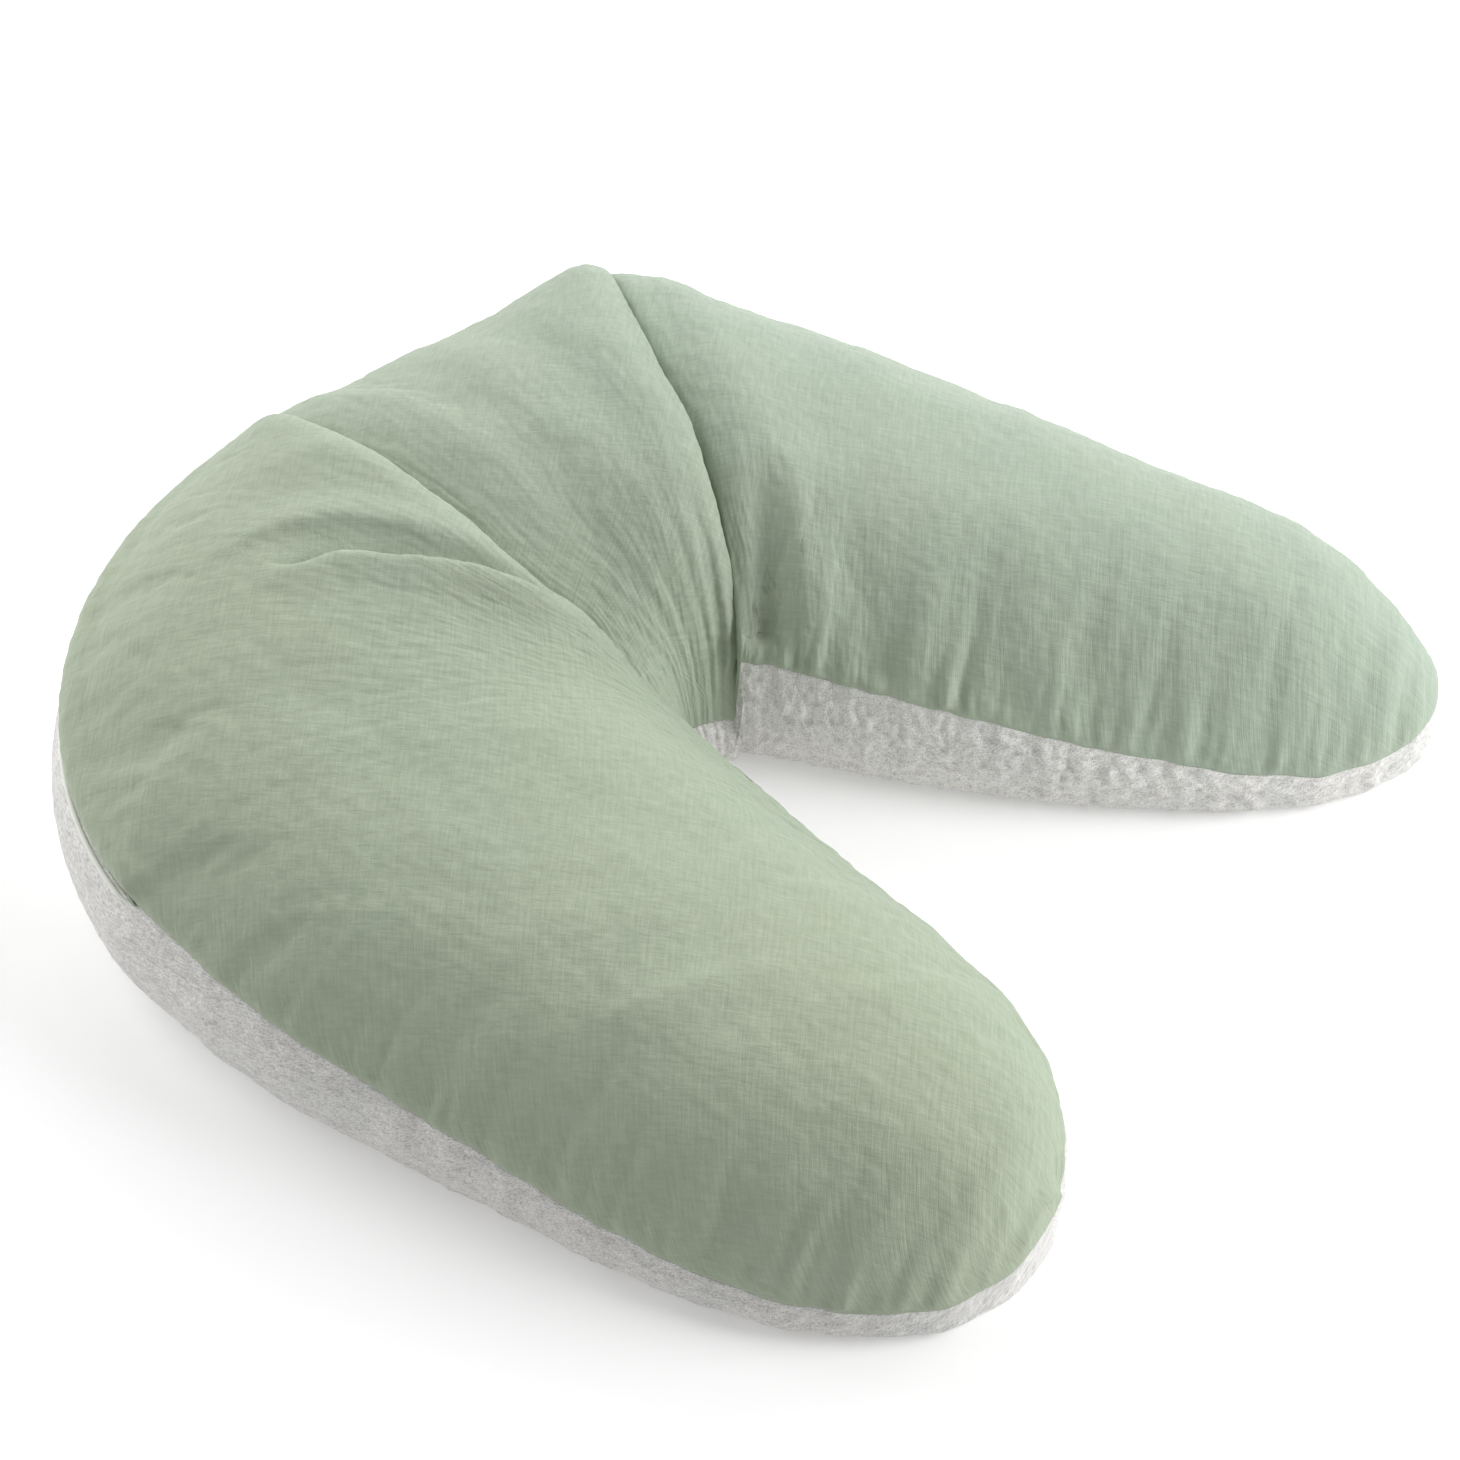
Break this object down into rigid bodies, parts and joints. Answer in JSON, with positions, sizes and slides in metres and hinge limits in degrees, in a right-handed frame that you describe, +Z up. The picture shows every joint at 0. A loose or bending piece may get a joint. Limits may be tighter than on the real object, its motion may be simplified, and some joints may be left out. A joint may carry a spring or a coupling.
{
  "type": "nursing pillow",
  "caption": "V-shaped nursing pillow: loose fill in an inner casing, in a zipped cover with a sage muslin top and a grey jersey underside.",
  "frame": {"origin": "centre of the bounding box, on the surface the pillow lies on", "axes": "+Z up; -Y is the open side between the arms, +Y the outside of the bend; +X the arm that spreads at the fold"},
  "size_m": [0.6767, 0.7414, 0.1958],
  "materials": {
    "muslin_sage": "crinkled double gauze",
    "jersey_grey": "quilted melange jersey",
    "calico": "plain sheeting",
    "loose_fill": "loose beads and fibre",
    "zip_tape": "woven tape",
    "zip_coil": "nylon coil",
    "zip_metal": "satin nickel",
    "label_cloth": "satin ribbon"
  },
  "bodies": {
    "main": {"cover_top_panel_main": "muslin_sage", "cover_underside_panel_main": "jersey_grey", "inner_casing_top_main": "calico", "inner_casing_underside_main": "calico", "fill_left_arm": "loose_fill", "fill_bend": "loose_fill", "zip_tape_upper": "zip_tape", "zip_tape_lower": "zip_tape", "zip_coil_upper": "zip_coil", "zip_coil_lower": "zip_coil", "zip_stop_back": "zip_metal", "zip_stop_front": "zip_metal", "care_label": "label_cloth"},
    "right_arm": {"cover_top_panel_right_arm": "muslin_sage", "cover_underside_panel_right_arm": "jersey_grey", "inner_casing_top_right_arm": "calico", "inner_casing_underside_right_arm": "calico", "fill_right_arm": "loose_fill"},
    "slider": {"zip_slider": "zip_metal"},
    "pull_tab": {"zip_pull_tab": "zip_metal"}
  },
  "joints": [
    {"name": "bend_fold", "type": "hinge", "parent": "main", "child": "right_arm", "pos_m": [0.25839, 0.24957, 0.1], "axis": [0, 0, 1], "range_deg": [0, 35]},
    {"name": "zip_run", "type": "hinge", "parent": "main", "child": "slider", "pos_m": [-0.04645, 0.07993, 0.096], "axis": [0, 0, 1], "range_deg": [0, 92.2]},
    {"name": "zip_pull", "type": "hinge", "parent": "slider", "child": "pull_tab", "pos_m": [0.08366, 0.32872, 0.096], "axis": [0, 0, -1], "range_deg": [0, 165]}
  ]
}
